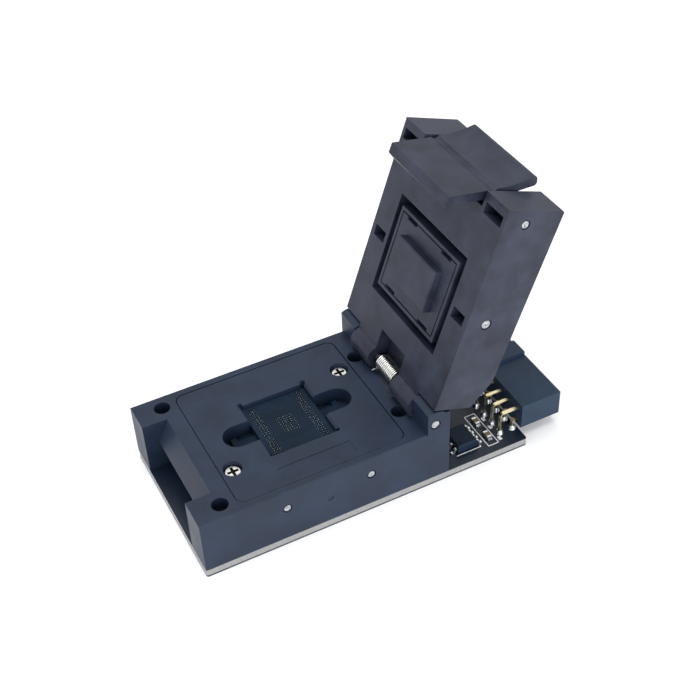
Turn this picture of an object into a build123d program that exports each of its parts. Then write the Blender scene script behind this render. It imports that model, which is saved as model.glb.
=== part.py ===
from build123d import *
from math import cos, radians, sin
import os

# Lengths are in millimetres and angles in degrees.
# X runs from the front, where the latch hooks on, to the pin header. Y is across and Z is up.
# X values count from the front face, and every piece is moved to the middle when it is written.

# Circuit board
board_length = 60.0
board_thickness = 1.6
board_corner_radius = 0.4

# Socket base
socket_width = 30.5
socket_height = 10.2
hinge_x = 41.6
hinge_height = 12.05
barrel_radius = 2.7
tower_width = 5.0
tower_front_offset = 1.4
tower_rear_rise = 1.9
base_edge_chamfer = 0.25
pocket_x = 22.2
wall_inset_x = 10.1
wall_inset_y = 10.75

# Front slot and the catch that the latch hooks under
slot_width = 18.9
catch_top_x = 4.4
catch_nose_x = 2.4
catch_nose_height = 6.0
catch_nose_flat = 0.5
undercut_x = 4.0

# Corner holes, and the screws that hold the base from under the board
corner_hole_radius = 1.4
corner_hole_floor = 5.2
front_hole_x = 4.67
front_hole_y = 12.35
rear_hole_x = 38.9
rear_hole_y = 7.85
base_screw_radius = 1.0
base_screw_reach = 4.5
base_screw_head_radius = 1.9
base_screw_head_depth = 0.9
base_screw_hole_radius = 1.1

# Guide plate, its pocket and its finger notches
plate_length = 29.8
plate_width = 27.4
plate_thickness = 3.0
plate_corner_radius = 1.5
pocket_length = 11.7
pocket_width = 13.1
pocket_chamfer = 0.4
pocket_relief_radius = 0.45
notch_reach = 11.6
notch_width = 5.0
label_length = 13.0
label_width = 2.8
label_y = -11.2
label_depth = 0.1

# Screws of the guide plate
plate_screw_x = 12.75
plate_screw_y = 6.3
plate_screw_head_radius = 1.38
plate_screw_head_height = 0.8
plate_screw_head_drop = 0.7
plate_screw_bore_radius = 1.6
plate_screw_radius = 0.8
plate_screw_length = 4.6
cross_recess_width = 0.5
cross_recess_depth = 0.6

# Probes and the two plates that carry them
probe_pitch = 0.5
probe_columns = 20
probe_rows = 24
probe_outer_columns = 3
probe_centre_columns = 6
probe_centre_rows = 8
barrel_outer_radius = 0.16
barrel_bore_radius = 0.115
barrel_bore_depth = 1.15
plunger_radius = 0.1
plunger_insert = 0.65
tip_height = 0.15
probe_pad_radius = 0.17
probe_pad_thickness = 0.05
lower_block_thickness = 2.6
upper_block_thickness = 3.0
rail_thickness = 2.2

# Floating plate
float_travel = 0.4
float_gap = 0.6
float_flange_length = 15.2
float_flange_width = 15.6
float_drop = 1.2
ear_reach = 9.8
ear_width = 4.6
ear_arm_width = 2.0
ear_bar_length = 1.0
ear_top_drop = 2.3
float_spring_x = 6.6
float_spring_y = 6.9
float_spring_radius = 0.8
float_spring_wire = 0.2
float_spring_seat = 2.0
float_spring_turns = 4

# Retaining pins through the side walls
retaining_pin_radius = 0.58
retaining_pin_x = 7.5
retaining_pin_height = 6.6
retaining_pin_tip_y = 9.6
moulding_dot_radius = 0.6
moulding_dot_depth = 0.12

# Lid: u counts from the hinge towards the free end, v from the hinge towards the outside
open_angle = 109.45
lid_inner_v = -1.3
lid_start_u = 2.95
lid_end_u = 39.6
lid_start_v = 5.8
lid_knee_u = 8.0
lid_knee_v = 8.4
lid_back_u = 16.5
lid_back_v = 8.6
lid_end_v = 9.3
lid_edge_chamfer = 0.3
knuckle_radius = 2.4
knuckle_inner_y = 3.9
spring_wall_v = 1.6
spring_window_u = 5.8
spring_window_v = 1.5
latch_recess_u = 36.96
latch_recess_half = 9.2
shoulder_notch_length = 1.8
shoulder_notch_depth = 2.6
shoulder_notch_inner_y = 9.9
shoulder_notch_outer_y = 14.5

# Hinge pin and its spring
hinge_pin_radius = 0.7
hinge_spring_radius = 1.3
hinge_spring_wire = 0.36
hinge_spring_turn_gap = 0.05
hinge_spring_turns = 13
hinge_spring_lid_leg = 4.2
hinge_spring_base_leg = 2.1

# Pusher and its frame
opening_half_u = 9.0
opening_half_y = 10.2
opening_floor_v = 6.0
frame_half_u = 7.5
frame_half_y = 9.0
frame_lift = 0.05
frame_back_v = 4.6
groove_inset = 0.6
groove_width = 0.22
groove_depth = 0.4
panel_slot_length = 3.0
panel_slot_width = 0.75
panel_slot_depth = 1.0
panel_slot_y = 5.3
panel_slot_inset = 0.9
block_half_u = 3.8
block_half_y = 5.8
block_face_v = -2.75
block_peg_radius = 0.8
block_peg_y = 4.0
block_peg_length = 1.3
pusher_pin_radius = 0.75
pusher_pin_v = 2.5
pin_window_half_u = 0.95
pin_window_inner_y = 11.0
pin_window_outer_y = 14.2
pin_window_floor_v = 3.6
pusher_spring_u = 5.2
pusher_spring_y = 6.9
pusher_spring_radius = 0.85
pusher_spring_wire = 0.22
pusher_spring_seat_v = 1.3
pusher_spring_slack = 0.3
pusher_spring_turns = 6

# Latch, in the lid's own directions and as it stands free
latch_pin_u = 37.2
latch_pin_v = 2.7
latch_pin_radius = 0.6
latch_half_width = 8.7
latch_boss_radius = 1.3
hook_edge_u = 38.2
hook_edge_v = -7.5
lip_u = 35.7
lip_v = -6.6
lip_height = 0.4
lip_heel_u = 36.5
lip_heel_v = -7.6
valley_u = 39.5
valley_v = 0.25
tab_edge_u = 42.05
tab_edge_v = 7.7
arm_thickness = 1.5
tab_thickness = 1.7
latch_spring_v = 5.2
latch_spring_y = 5.0
latch_spring_radius = 0.8
latch_spring_wire = 0.22
latch_spring_start_u = 34.2
latch_spring_end_u = 37.8
latch_spring_seat_u = 40.0
latch_spring_turns = 7

# Clearances between pieces
plate_clearance = 0.1
running_clearance = 0.05
seat_clearance = 0.01
knuckle_side_gap = 0.15
knuckle_recess_gap = 0.25
probe_hole_clearance = 0.01
float_hole_clearance = 0.05
spring_pocket_clearance = 0.2
boss_clearance = 0.3
pin_end_drop = 0.1
pin_ring_width = 0.25
pin_ring_depth = 0.3

# Pin header
header_length = 7.8
header_width = 26.0
header_height = 5.1
header_lift = 0.65
header_shift_y = -0.3
header_columns = 10
header_pitch = 2.54
header_lower_row = 1.8
key_width = 3.6
key_height = 0.68
socket_hole_size = 0.9
socket_hole_depth = 6.4
socket_hole_funnel = 0.2
lead_width = 0.6
lead_thickness = 0.25
lead_bend_radius = 0.5
upper_foot_setback = 3.4
lower_foot_setback = 0.9
lead_hole_radius = 0.45
blade_thickness = 0.2
solder_foot_radius = 0.8
solder_top_radius = 0.45
solder_height = 0.7

# Small parts on the board
chip_x = 49.6
chip_y = -10.3
chip_length = 3.9
chip_width = 4.9
chip_height = 1.4
chip_lift = 0.15
chip_lead_pitch = 1.27
chip_lead_width = 0.5
chip_lead_thickness = 0.25
chip_lead_span = 6.0
capacitor_x = 54.2
capacitor_y = (-11.6, -7.8)
capacitor_length = 1.6
capacitor_width = 0.8
capacitor_height = 0.7
capacitor_end_length = 0.35
fillet_reach = 0.3

# Levels and places that follow from the sizes above
board_top = board_thickness
base_top = board_top + socket_height
hinge_z = board_top + hinge_height
base_rear_x = hinge_x + barrel_radius
half_width = socket_width / 2
tower_inner_y = half_width - tower_width
tower_front_x = hinge_x - tower_front_offset
plate_bottom = base_top - plate_thickness
lower_block_top = board_top + lower_block_thickness
upper_block_top = lower_block_top + upper_block_thickness
float_bottom = upper_block_top + float_gap
float_top = base_top - float_drop
probe_bottom = board_top + probe_pad_thickness
tip_top = float_top - float_travel / 4
overall_length = board_length + header_length
header_bottom = board_top + header_lift
header_top = header_bottom + header_height
rows_z = (board_top + header_lower_row, board_top + header_lower_row + header_pitch)
foot_x = (board_length - lower_foot_setback, board_length - upper_foot_setback)
pusher_u = hinge_x - pocket_x
frame_face_v = lid_inner_v - frame_lift
pin_end_y = half_width - pin_end_drop


def box(x0, x1, y0, y1, z0, z1):
    """A box between two corners."""
    centre = Pos((x0 + x1) / 2, (y0 + y1) / 2, (z0 + z1) / 2)
    return centre * Box(x1 - x0, y1 - y0, z1 - z0)


def rod_y(x, z, radius, y0, y1):
    """A round rod along Y."""
    return Pos(x, (y0 + y1) / 2, z) * Rot(90, 0, 0) * Cylinder(radius, y1 - y0)


def rod_z(x, y, radius, z0, z1):
    """A round rod along Z."""
    return Pos(x, y, (z0 + z1) / 2) * Cylinder(radius, z1 - z0)


def cone_z(x, y, lower_radius, upper_radius, z0, z1):
    """A cone along Z."""
    return Pos(x, y, (z0 + z1) / 2) * Cone(lower_radius, upper_radius, z1 - z0)


def prism_y(points, y0, y1):
    """A solid whose outline in X and Z is given by its corners."""
    outline = Polyline([(x, y0, z) for x, z in points], close=True)
    return extrude(make_face(outline), amount=y1 - y0, dir=(0, 1, 0))


def lid_box(u0, u1, y0, y1, v0, v1):
    """A box in the closed lid's directions, with the hinge at the origin."""
    return box(-u1, -u0, y0, y1, v0, v1)


def lid_rod(u, v, radius, y0, y1):
    """A rod across the lid."""
    return rod_y(-u, v, radius, y0, y1)


def lid_prism(points, y0, y1):
    """A prism across the lid."""
    return prism_y([(-u, v) for u, v in points], y0, y1)


def open_lid(shape):
    """The shape carried from the closed lid's directions to the open lid."""
    return Pos(hinge_x, 0, hinge_z) * Rot(0, open_angle, 0) * shape


def coil(radius, wire, height, turns):
    """A compression spring standing on the origin."""
    path = Pos(0, 0, wire / 2) * Helix((height - wire) / turns, height - wire, radius - wire / 2)
    section = Plane(origin=path @ 0, z_dir=path % 0) * Circle(wire / 2)
    return sweep(section, path=path, is_frenet=True)


def corner_holes():
    """The centres of the four corner holes."""
    return [
        (x, side * y)
        for x, y in ((front_hole_x, front_hole_y), (rear_hole_x, rear_hole_y))
        for side in (-1, 1)
    ]


def plate_screw_places():
    """The centres of the two guide plate screws."""
    return [(pocket_x + side * plate_screw_x, side * plate_screw_y) for side in (-1, 1)]


def retaining_pin_places():
    """The X places of the retaining pins."""
    return (pocket_x - retaining_pin_x, pocket_x + retaining_pin_x)


def probe_places():
    """The centres of the probes: full outer columns and a block in the middle."""
    places = []
    for column in range(probe_columns):
        from_edge = min(column, probe_columns - 1 - column)
        from_middle = abs(column - (probe_columns - 1) / 2)
        for row in range(probe_rows):
            row_from_middle = abs(row - (probe_rows - 1) / 2)
            outer = from_edge < probe_outer_columns
            middle = from_middle < probe_centre_columns / 2 and row_from_middle < probe_centre_rows / 2
            if outer or middle:
                x = pocket_x + (column - (probe_columns - 1) / 2) * probe_pitch
                y = (row - (probe_rows - 1) / 2) * probe_pitch
                places.append((x, y))
    return places


def at_probes(shape):
    """One copy of the shape at every probe, as separate solids."""
    return [Pos(x, y, 0) * shape for x, y in probe_places()]


def float_spring_places():
    """The centres of the four springs under the floating plate."""
    return [
        (pocket_x + side_x * float_spring_x, side_y * float_spring_y)
        for side_x in (-1, 1)
        for side_y in (-1, 1)
    ]


def header_columns_y():
    """The Y places of the header's columns."""
    middle = (header_columns - 1) / 2
    return [header_shift_y + (i - middle) * header_pitch for i in range(header_columns)]


def chip_leads_y():
    """The Y places of the chip's leads."""
    return [chip_y + (i - 1.5) * chip_lead_pitch for i in range(4)]


def cross_recess(x, y, z, reach, downward):
    """A cross-shaped recess, cut into a face at height z."""
    z0, z1 = (z - cross_recess_depth, z) if downward else (z, z + cross_recess_depth)
    half = cross_recess_width / 2
    bar_x = box(x - reach, x + reach, y - half, y + half, z0, z1)
    bar_y = box(x - half, x + half, y - reach, y + reach, z0, z1)
    return bar_x + bar_y


def circuit_board():
    """The board, with holes for the header's leads and for the base screws."""
    board = box(0, board_length, -half_width, half_width, 0, board_top)
    board = fillet(board.edges().filter_by(Axis.Z), board_corner_radius)
    cuts = [rod_z(x, y, lead_hole_radius, 0, board_top) for x in foot_x for y in header_columns_y()]
    for x, y in corner_holes():
        cuts.append(rod_z(x, y, base_screw_hole_radius, 0, board_top))
        sink_radius = base_screw_head_radius + seat_clearance
        sink_depth = base_screw_head_depth + seat_clearance
        cuts.append(cone_z(x, y, sink_radius, base_screw_radius, 0, sink_depth))
    return board - cuts


def base_screws():
    """Four countersunk screws from under the board up into the base."""
    screws = []
    for x, y in corner_holes():
        head = cone_z(x, y, base_screw_head_radius, base_screw_radius, 0, base_screw_head_depth)
        shank = rod_z(x, y, base_screw_radius, 0, board_top + base_screw_reach)
        recess = cross_recess(x, y, 0, base_screw_radius, False)
        screws.append(head + shank - recess)
    return screws


def tower_profile():
    """The block and barrel outline of a hinge tower, as a solid across the whole width."""
    barrel = rod_y(hinge_x, hinge_z, barrel_radius, -half_width, half_width)
    slab = box(hinge_x - barrel_radius, base_rear_x, -half_width, half_width, board_top, hinge_z)
    rear_top = hinge_z + tower_rear_rise
    slab += box(hinge_x, base_rear_x, -half_width, half_width, hinge_z, rear_top)
    front = box(tower_front_x, base_rear_x, -half_width, half_width, board_top, hinge_z + barrel_radius)
    return (barrel + slab) & front


def socket_base():
    """The moulded base with its slot, catch, cavity, towers and holes."""
    block = box(0, base_rear_x, -half_width, half_width, board_top, base_top)
    long_edges = block.edges().filter_by(Axis.X).group_by(Axis.Z)[-1]
    block = chamfer(long_edges, base_edge_chamfer)
    middle_gap = box(0, base_rear_x, -tower_inner_y, tower_inner_y, base_top, hinge_z + barrel_radius)
    base = block + (tower_profile() - middle_gap)
    return base - front_slot() - plate_recess() - block_cavity() - knuckle_recess() - base_holes()


def front_slot():
    """The open slot at the front, with the sloped catch and the undercut below its nose."""
    nose_z = board_top + catch_nose_height
    outline = [
        (-1, board_top),
        (undercut_x, board_top),
        (undercut_x, nose_z),
        (catch_nose_x, nose_z),
        (catch_nose_x, nose_z + catch_nose_flat),
        (catch_top_x, base_top),
        (catch_top_x, base_top + 1),
        (-1, base_top + 1),
    ]
    return prism_y(outline, -slot_width / 2, slot_width / 2)


def plate_recess():
    """The seat of the guide plate."""
    half_length = plate_length / 2 + plate_clearance
    half_span = plate_width / 2 + plate_clearance
    recess = box(
        pocket_x - half_length, pocket_x + half_length, -half_span, half_span, plate_bottom, base_top + 1
    )
    return fillet(recess.edges().filter_by(Axis.Z), plate_corner_radius + plate_clearance)


def block_cavity():
    """The opening through the base that holds the probe plates."""
    return box(
        pocket_x - wall_inset_x, pocket_x + wall_inset_x, -wall_inset_y, wall_inset_y, board_top, plate_bottom
    )


def knuckle_recess():
    """The room between the towers in which the lid's knuckles turn."""
    radius = knuckle_radius + knuckle_recess_gap
    round_part = rod_y(hinge_x, hinge_z, radius, -tower_inner_y, tower_inner_y)
    rear_part = box(
        hinge_x, base_rear_x + 1, -tower_inner_y, tower_inner_y, hinge_z - radius, hinge_z + radius
    )
    return round_part + rear_part


def base_holes():
    """All round holes of the base."""
    holes = []
    for x, y in corner_holes():
        holes.append(rod_z(x, y, corner_hole_radius, board_top + corner_hole_floor, base_top + 1))
        holes.append(rod_z(x, y, base_screw_radius + seat_clearance, board_top, base_top))
    for x, y in plate_screw_places():
        screw_bottom = base_top - plate_screw_head_drop - plate_screw_length
        holes.append(rod_z(x, y, plate_screw_radius + seat_clearance, screw_bottom - 0.3, base_top))
    holes.append(rod_y(hinge_x, hinge_z, hinge_pin_radius + seat_clearance, -half_width, half_width))
    pin_z = board_top + retaining_pin_height
    for side in (-1, 1):
        rim_y = side * (half_width - pin_ring_depth)
        ring_start, ring_end = sorted((rim_y, side * half_width))
        ring_radius = hinge_pin_radius + pin_ring_width
        holes.append(rod_y(hinge_x, hinge_z, ring_radius, ring_start, ring_end))
        for x in retaining_pin_places():
            start, end = sorted((side * wall_inset_y, side * half_width))
            holes.append(rod_y(x, pin_z, retaining_pin_radius + seat_clearance, start, end))
            holes.append(rod_y(x, pin_z, retaining_pin_radius + pin_ring_width, ring_start, ring_end))
        dot_start, dot_end = sorted((side * (half_width - moulding_dot_depth), side * half_width))
        holes.append(rod_y(pocket_x, board_top + socket_height / 2, moulding_dot_radius, dot_start, dot_end))
    return holes


def retaining_pins():
    """Four short pins that hold the probe plates from the sides."""
    pins = []
    pin_z = board_top + retaining_pin_height
    for side in (-1, 1):
        start, end = sorted((side * retaining_pin_tip_y, side * pin_end_y))
        pins += [rod_y(x, pin_z, retaining_pin_radius, start, end) for x in retaining_pin_places()]
    return pins


def finger_notches():
    """The two round-ended notches beside the pocket."""
    radius = notch_width / 2
    straight = box(
        pocket_x - notch_reach + radius,
        pocket_x + notch_reach - radius,
        -radius,
        radius,
        plate_bottom,
        base_top,
    )
    ends = [
        rod_z(pocket_x + side * (notch_reach - radius), 0, radius, plate_bottom, base_top)
        for side in (-1, 1)
    ]
    return straight + ends


def chip_pocket():
    """The pocket, with a lead-in at the top and round reliefs in its corners."""
    half_length = pocket_length / 2
    half_span = pocket_width / 2
    pocket = box(
        pocket_x - half_length, pocket_x + half_length, -half_span, half_span, plate_bottom, base_top
    )
    mouth_plane = Plane((pocket_x, 0, base_top))
    mouth = mouth_plane * Rectangle(pocket_length + 2 * pocket_chamfer, pocket_width + 2 * pocket_chamfer)
    throat = mouth_plane.offset(-pocket_chamfer) * Rectangle(pocket_length, pocket_width)
    reliefs = [
        rod_z(
            pocket_x + side_x * half_length,
            side_y * half_span,
            pocket_relief_radius,
            plate_bottom,
            base_top,
        )
        for side_x in (-1, 1)
        for side_y in (-1, 1)
    ]
    return pocket + loft([throat, mouth]) + reliefs


def guide_plate():
    """The inset plate with the pocket, the notches, the screw holes and a bare label field."""
    half_length = plate_length / 2
    half_span = plate_width / 2
    plate = box(
        pocket_x - half_length, pocket_x + half_length, -half_span, half_span, plate_bottom, base_top
    )
    plate = fillet(plate.edges().filter_by(Axis.Z), plate_corner_radius)
    plate = chamfer(plate.edges().group_by(Axis.Z)[-1], plate_clearance)
    bore_floor = base_top - plate_screw_head_drop - plate_screw_head_height
    cuts = [
        box(
            pocket_x - label_length / 2,
            pocket_x + label_length / 2,
            label_y - label_width / 2,
            label_y + label_width / 2,
            base_top - label_depth,
            base_top,
        )
    ]
    for x, y in plate_screw_places():
        cuts.append(rod_z(x, y, plate_screw_bore_radius, bore_floor, base_top))
        cuts.append(rod_z(x, y, plate_screw_radius + running_clearance, plate_bottom, base_top))
    return plate - chip_pocket() - finger_notches() - cuts


def guide_plate_screws():
    """Two cross-head screws."""
    screws = []
    head_top = base_top - plate_screw_head_drop
    for x, y in plate_screw_places():
        head = rod_z(x, y, plate_screw_head_radius, head_top - plate_screw_head_height, head_top)
        head = fillet(head.edges().group_by(Axis.Z)[-1], plate_screw_head_height / 4)
        shank = rod_z(x, y, plate_screw_radius, head_top - plate_screw_length, head_top - cross_recess_depth)
        reach = plate_screw_head_radius * 0.7
        recess = cross_recess(x, y, head_top, reach, True)
        screws.append(head + shank - recess)
    return screws


def contact_block_lower():
    """The lower probe plate."""
    half_length = wall_inset_x - plate_clearance
    half_span = wall_inset_y - plate_clearance
    plate = box(
        pocket_x - half_length, pocket_x + half_length, -half_span, half_span, board_top, lower_block_top
    )
    hole = rod_z(0, 0, barrel_outer_radius + probe_hole_clearance, board_top, lower_block_top)
    return plate - at_probes(hole)


def contact_block_upper():
    """The upper probe plate, with spring seats and side rails for the retaining pins."""
    half_length = wall_inset_x - plate_clearance
    half_span = wall_inset_y - plate_clearance
    plate = box(
        pocket_x - half_length, pocket_x + half_length, -half_span, half_span, lower_block_top, plate_bottom
    )
    well_y = half_span - rail_thickness
    well = box(
        pocket_x - half_length, pocket_x + half_length, -well_y, well_y, upper_block_top, plate_bottom
    )
    hole = rod_z(0, 0, barrel_outer_radius + probe_hole_clearance, lower_block_top, upper_block_top)
    seat_radius = float_spring_radius + spring_pocket_clearance
    seats = [
        rod_z(x, y, seat_radius, upper_block_top - float_spring_seat, upper_block_top)
        for x, y in float_spring_places()
    ]
    pin_z = board_top + retaining_pin_height
    for side in (-1, 1):
        start, end = sorted((side * retaining_pin_tip_y, side * half_span))
        for x in retaining_pin_places():
            seats.append(rod_y(x, pin_z, retaining_pin_radius + seat_clearance, start, end))
    return plate - well - at_probes(hole) - seats


def contact_barrels():
    """The probes' barrels, each with a tail on its pad and a bore for its plunger."""
    tube = rod_z(0, 0, barrel_outer_radius, probe_bottom + tip_height, upper_block_top)
    tail = cone_z(0, 0, barrel_outer_radius / 2, barrel_outer_radius, probe_bottom, probe_bottom + tip_height)
    bore = rod_z(0, 0, barrel_bore_radius, upper_block_top - barrel_bore_depth, upper_block_top)
    return at_probes(tube + tail - bore)


def contact_plungers():
    """The probes' plungers with pointed tips."""
    stem_top = tip_top - tip_height
    stem = rod_z(0, 0, plunger_radius, upper_block_top - plunger_insert, stem_top)
    tip = cone_z(0, 0, plunger_radius, plunger_radius / 3, stem_top, tip_top)
    return at_probes(stem + tip)


def contact_pads():
    """The gold pads on the board under the probes."""
    return at_probes(rod_z(0, 0, probe_pad_radius, board_top, board_top + probe_pad_thickness))


def floating_plate():
    """The sprung chip seat, with its flange under the guide plate and its two ears."""
    flange_x = float_flange_length / 2
    flange_y = float_flange_width / 2
    plate = box(
        pocket_x - flange_x, pocket_x + flange_x, -flange_y, flange_y, float_bottom, plate_bottom
    )
    seat_x = pocket_length / 2 - plate_clearance
    seat_y = pocket_width / 2 - plate_clearance
    plate += box(pocket_x - seat_x, pocket_x + seat_x, -seat_y, seat_y, float_bottom, float_top)
    ear_top = base_top - ear_top_drop
    plate += box(
        pocket_x - ear_reach,
        pocket_x + ear_reach,
        -ear_width / 2,
        ear_width / 2,
        float_bottom,
        plate_bottom,
    )
    plate += box(
        pocket_x - ear_reach,
        pocket_x + ear_reach,
        -ear_arm_width / 2,
        ear_arm_width / 2,
        plate_bottom,
        ear_top,
    )
    for side in (-1, 1):
        outer = pocket_x + side * ear_reach
        x0, x1 = sorted((outer, outer - side * ear_bar_length))
        plate += box(x0, x1, -ear_width / 2 + 0.3, ear_width / 2 - 0.3, plate_bottom, ear_top)
    hole = rod_z(0, 0, plunger_radius + float_hole_clearance, float_bottom, float_top)
    return plate - at_probes(hole)


def floating_plate_springs():
    """Four springs under the floating plate."""
    height = float_gap + float_spring_seat
    spring = coil(float_spring_radius, float_spring_wire, height, float_spring_turns)
    bottom = upper_block_top - float_spring_seat
    return [Pos(x, y, bottom) * spring for x, y in float_spring_places()]


def hinge_pin():
    """The steel pin through the towers and the lid's knuckles."""
    return rod_y(hinge_x, hinge_z, hinge_pin_radius, -pin_end_y, pin_end_y)


def hinge_spring():
    """The torsion spring: one leg in the base's recess and one against the lid."""
    pitch = hinge_spring_wire + hinge_spring_turn_gap
    lid_leg_angle = open_angle - 90
    turns = hinge_spring_turns + (90 - lid_leg_angle) / 360
    path = Rot(0, 0, -90) * Helix(pitch, pitch * turns, hinge_spring_radius)
    wire = Circle(hinge_spring_wire / 2)
    body = sweep(Plane(origin=path @ 0, z_dir=path % 0) * wire, path=path, is_frenet=True)
    base_leg = extrude(Plane(origin=path @ 0, z_dir=-(path % 0)) * wire, amount=hinge_spring_base_leg)
    lid_leg = extrude(Plane(origin=path @ 1, z_dir=path % 1) * wire, amount=hinge_spring_lid_leg)
    start = Plane(origin=(hinge_x, pitch * turns / 2, hinge_z), x_dir=(1, 0, 0), z_dir=(0, -1, 0))
    return start.location * (body + base_leg + lid_leg)


def lid_block():
    """The lid's solid outline with its bevelled outer edges."""
    outline = [
        (lid_start_u, lid_inner_v),
        (lid_end_u, lid_inner_v),
        (lid_end_u, lid_end_v),
        (lid_back_u, lid_back_v),
        (lid_knee_u, lid_knee_v),
        (lid_start_u, lid_start_v),
    ]
    block = lid_prism(outline, -half_width, half_width)
    end_edges = block.edges().filter_by(Axis.Y).sort_by(Axis.X)[:2].sort_by(Axis.Z)
    return chamfer(end_edges[-1], lid_edge_chamfer)


def lid_shell():
    """The lid: a thick shell with an opening for the pusher and a recess for the latch."""
    shell = lid_block()
    knuckle_outer_y = tower_inner_y - knuckle_side_gap
    for side in (-1, 1):
        y0, y1 = sorted((side * knuckle_inner_y, side * knuckle_outer_y))
        shell += lid_rod(0, 0, knuckle_radius, y0, y1)
        shell += lid_box(0, lid_start_u, y0, y1, lid_inner_v, knuckle_radius)
    shell += lid_box(
        0, lid_start_u, -knuckle_inner_y, knuckle_inner_y, spring_wall_v, knuckle_radius
    )
    shell -= lid_box(
        pusher_u - opening_half_u,
        pusher_u + opening_half_u,
        -opening_half_y,
        opening_half_y,
        lid_inner_v,
        opening_floor_v,
    )
    shell -= lid_box(0, spring_window_u, -knuckle_inner_y, knuckle_inner_y, lid_inner_v, spring_window_v)
    shell -= lid_box(
        latch_recess_u, lid_end_u, -latch_recess_half, latch_recess_half, lid_inner_v, lid_end_v
    )
    boss_room = latch_boss_radius + boss_clearance
    shell -= lid_rod(latch_pin_u, latch_pin_v, boss_room, -latch_recess_half, latch_recess_half)
    return shell - lid_windows() - lid_bores()


def lid_windows():
    """The windows in the inner face, in which the pusher pin and the latch pin show."""
    windows = []
    for side in (-1, 1):
        y0, y1 = sorted((side * pin_window_inner_y, side * pin_window_outer_y))
        windows.append(
            lid_box(
                pusher_u - pin_window_half_u,
                pusher_u + pin_window_half_u,
                y0,
                y1,
                lid_inner_v,
                pin_window_floor_v,
            )
        )
        y0, y1 = sorted((side * shoulder_notch_inner_y, side * shoulder_notch_outer_y))
        middle = latch_pin_u
        windows.append(
            lid_box(
                middle - shoulder_notch_length / 2,
                middle + shoulder_notch_length / 2,
                y0,
                y1,
                lid_inner_v,
                lid_inner_v + shoulder_notch_depth,
            )
        )
    return windows


def lid_bores():
    """The pin holes and the latch springs' seats."""
    bores = [
        lid_rod(0, 0, hinge_pin_radius + running_clearance, -tower_inner_y, tower_inner_y),
        lid_rod(pusher_u, pusher_pin_v, pusher_pin_radius + seat_clearance, -half_width, half_width),
        lid_rod(latch_pin_u, latch_pin_v, latch_pin_radius + running_clearance, -half_width, half_width),
    ]
    for side in (-1, 1):
        y0, y1 = sorted((side * (half_width - pin_ring_depth), side * half_width))
        bores.append(lid_rod(pusher_u, pusher_pin_v, pusher_pin_radius + pin_ring_width, y0, y1))
        bores.append(lid_rod(latch_pin_u, latch_pin_v, latch_pin_radius + pin_ring_width, y0, y1))
        bores.append(latch_spring_bore(side, latch_spring_start_u, latch_recess_u))
    return bores


def latch_spring_bore(side, u0, u1):
    """The round seat of one latch spring, from u0 to u1."""
    radius = latch_spring_radius + spring_pocket_clearance
    middle = Pos(-(u0 + u1) / 2, side * latch_spring_y, latch_spring_v)
    return middle * Rot(0, 90, 0) * Cylinder(radius, u1 - u0)


def frame_face_ring(inset, width):
    """A ring in the frame's face, at an inset from its edge."""
    u0, u1 = pusher_u - frame_half_u + inset, pusher_u + frame_half_u - inset
    half_y = frame_half_y - inset
    floor_v = frame_face_v + groove_depth
    outer = lid_box(u0, u1, -half_y, half_y, frame_face_v, floor_v)
    return outer - lid_box(
        u0 + width, u1 - width, -half_y + width, half_y - width, frame_face_v, floor_v
    )


def pusher_frame():
    """The tilting frame: a flat face with a groove and slots, and seats for its springs behind."""
    u0, u1 = pusher_u - frame_half_u, pusher_u + frame_half_u
    frame = lid_box(u0, u1, -frame_half_y, frame_half_y, frame_face_v, frame_back_v)
    frame -= frame_face_ring(groove_inset, groove_width)
    frame -= lid_rod(
        pusher_u, pusher_pin_v, pusher_pin_radius + running_clearance, -frame_half_y, frame_half_y
    )
    return frame - panel_cuts()


def panel_cuts():
    """The frame's slots, the block's peg holes and the spring seats."""
    cuts = []
    slot_u = frame_half_u - panel_slot_inset
    for side_u in (-1, 1):
        for side_y in (-1, 1):
            u = pusher_u + side_u * slot_u
            y = side_y * panel_slot_y
            cuts.append(
                lid_box(
                    u - panel_slot_width / 2,
                    u + panel_slot_width / 2,
                    y - panel_slot_length / 2,
                    y + panel_slot_length / 2,
                    frame_face_v,
                    frame_face_v + panel_slot_depth,
                )
            )
    for place in pusher_spring_places():
        seat_radius = pusher_spring_radius + spring_pocket_clearance
        cuts.append(rod_z(*place, seat_radius, pusher_spring_seat_v, frame_back_v))
    for side in (-1, 1):
        peg_floor = frame_face_v + block_peg_length + seat_clearance
        peg_radius = block_peg_radius + seat_clearance
        cuts.append(
            rod_z(-pusher_u - 2 * side, side * block_peg_y, peg_radius, frame_face_v, peg_floor)
        )
    return cuts


def pusher_spring_places():
    """The centres of the four pusher springs, in the lid's directions."""
    return [
        (-pusher_u + side_x * pusher_spring_u, side_y * pusher_spring_y)
        for side_x in (-1, 1)
        for side_y in (-1, 1)
    ]


def pusher_block():
    """The raised block that presses the chip, with two pegs in the frame."""
    block = lid_box(
        pusher_u - block_half_u,
        pusher_u + block_half_u,
        -block_half_y,
        block_half_y,
        block_face_v,
        frame_face_v,
    )
    block = chamfer(block.faces().sort_by(Axis.Z)[0].edges(), 0.2)
    peg_end = frame_face_v + block_peg_length
    for side in (-1, 1):
        peg_x = -pusher_u - 2 * side
        block += rod_z(peg_x, side * block_peg_y, block_peg_radius, frame_face_v, peg_end)
    return block


def pusher_pin():
    """The pin that carries the pusher frame."""
    return lid_rod(pusher_u, pusher_pin_v, pusher_pin_radius, -pin_end_y, pin_end_y)


def pusher_springs():
    """Four springs behind the pusher frame."""
    start_v = pusher_spring_seat_v + pusher_spring_slack
    height = opening_floor_v - start_v
    spring = coil(pusher_spring_radius, pusher_spring_wire, height, pusher_spring_turns)
    return [Pos(x, y, start_v) * spring for x, y in pusher_spring_places()]


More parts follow.
